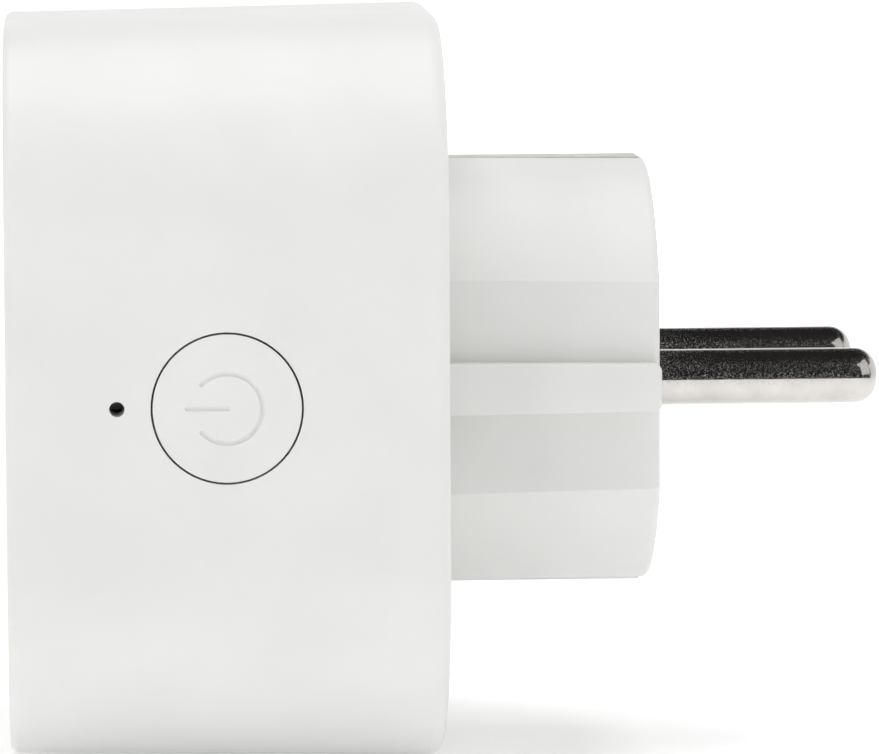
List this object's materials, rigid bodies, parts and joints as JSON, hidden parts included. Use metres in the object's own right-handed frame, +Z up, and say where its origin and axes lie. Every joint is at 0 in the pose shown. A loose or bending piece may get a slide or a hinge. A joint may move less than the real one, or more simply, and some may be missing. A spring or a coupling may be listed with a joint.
{
  "type": "plug in power meter",
  "caption": "White plug-through mains adapter with a rounded box body, round push button, status light, two-pin earthed plug behind and socket in front.",
  "frame": {"origin": "on the plug's axis, in the plane of the body's back face, which meets the wall plate", "axes": "+X along the plug's pins, out of the body towards the wall; +Z up; the button's side faces -Y"},
  "size_m": [0.075, 0.0546, 0.0642],
  "materials": {
    "white_casing": "satin white moulded plastic",
    "white_casing_back": "satin white moulded plastic, fine grain",
    "white_boss": "satin white moulded plastic",
    "white_socket": "satin white moulded plastic",
    "white_button": "satin white moulded plastic",
    "zinc_steel": "zinc-plated",
    "zinc_steel_small": "zinc-plated",
    "shutter_plastic": "natural white, low friction",
    "shutter_cover_plastic": "matt off-white",
    "spring_steel": "bright drawn wire",
    "nickel_pin": "nickel-plated, fine turned grain",
    "copper_sheet": "rolled copper",
    "bronze_contact": "phosphor bronze",
    "earth_nickel": "nickel-plated sheet",
    "earth_brass": "rolled brass",
    "switch_metal": "tinned sheet",
    "switch_black": "black moulded plastic",
    "led_clear": "clear resin",
    "board_green": "green solder mask",
    "board_blue": "blue solder mask",
    "lead_tin": "tinned",
    "shield_can": "tinned steel sheet",
    "relay_case": "black moulded plastic",
    "ferrite": "sintered dark grey",
    "winding_tape": "yellow polyester tape",
    "capacitor_sleeve": "dark blue sleeve",
    "capacitor_box": "yellow box",
    "varistor_coat": "blue epoxy coat",
    "resistor_body": "green lacquer",
    "shunt_alloy": "copper alloy strip",
    "chip_black": "black moulded epoxy"
  },
  "bodies": {
    "housing": {"outer_shell": "white_casing", "back_cover": "white_casing_back", "plug_boss": "white_boss", "socket_well": "white_socket", "case_screws": "zinc_steel", "shutter_screws": "zinc_steel_small", "shutter_cover": "shutter_cover_plastic", "shutter_spring": "spring_steel", "line_pin": "nickel_pin", "neutral_pin": "nickel_pin", "line_busbar": "copper_sheet", "neutral_busbar": "copper_sheet", "line_contact": "bronze_contact", "neutral_contact": "bronze_contact", "upper_plug_earth_clip": "earth_nickel", "lower_plug_earth_clip": "earth_nickel", "upper_socket_earth_clip": "earth_nickel", "lower_socket_earth_clip": "earth_nickel", "earth_strap": "earth_brass", "earth_sleeve": "earth_brass", "switch_body": "switch_metal", "status_light": "led_clear", "main_board": "board_green", "side_board": "board_green", "radio_board": "board_blue", "side_board_header": "lead_tin", "radio_header": "lead_tin", "radio_shield": "shield_can", "relay": "relay_case", "transformer_core": "ferrite", "transformer_winding": "winding_tape", "electrolytic_capacitors": "capacitor_sleeve", "interference_capacitor": "capacitor_box", "varistor": "varistor_coat", "fuse_resistor": "resistor_body", "current_shunt": "shunt_alloy", "metering_chip": "chip_black", "supply_chip": "chip_black", "rectifier": "chip_black"},
    "button": {"button": "white_button"},
    "switch_plunger": {"switch_plunger": "switch_black"},
    "shutter": {"shutter": "shutter_plastic"}
  },
  "joints": [
    {"name": "button_press", "type": "slide", "parent": "housing", "child": "button", "axis": [0, 1, 0], "range_m": [0, 0.00035], "stiffness_N_per_m": 1500},
    {"name": "plunger_press", "type": "slide", "parent": "housing", "child": "switch_plunger", "axis": [0, 1, 0], "range_m": [0, 0.00035]},
    {"name": "shutter_slide", "type": "slide", "parent": "housing", "child": "shutter", "axis": [0, 0, 1], "range_m": [0, 0.0058], "stiffness_N_per_m": 100, "springref_m": -0.002, "deforming": ["shutter_spring"]}
  ],
  "couplings": [
    {"joint": "plunger_press", "follows": "button_press", "ratio": 1}
  ]
}
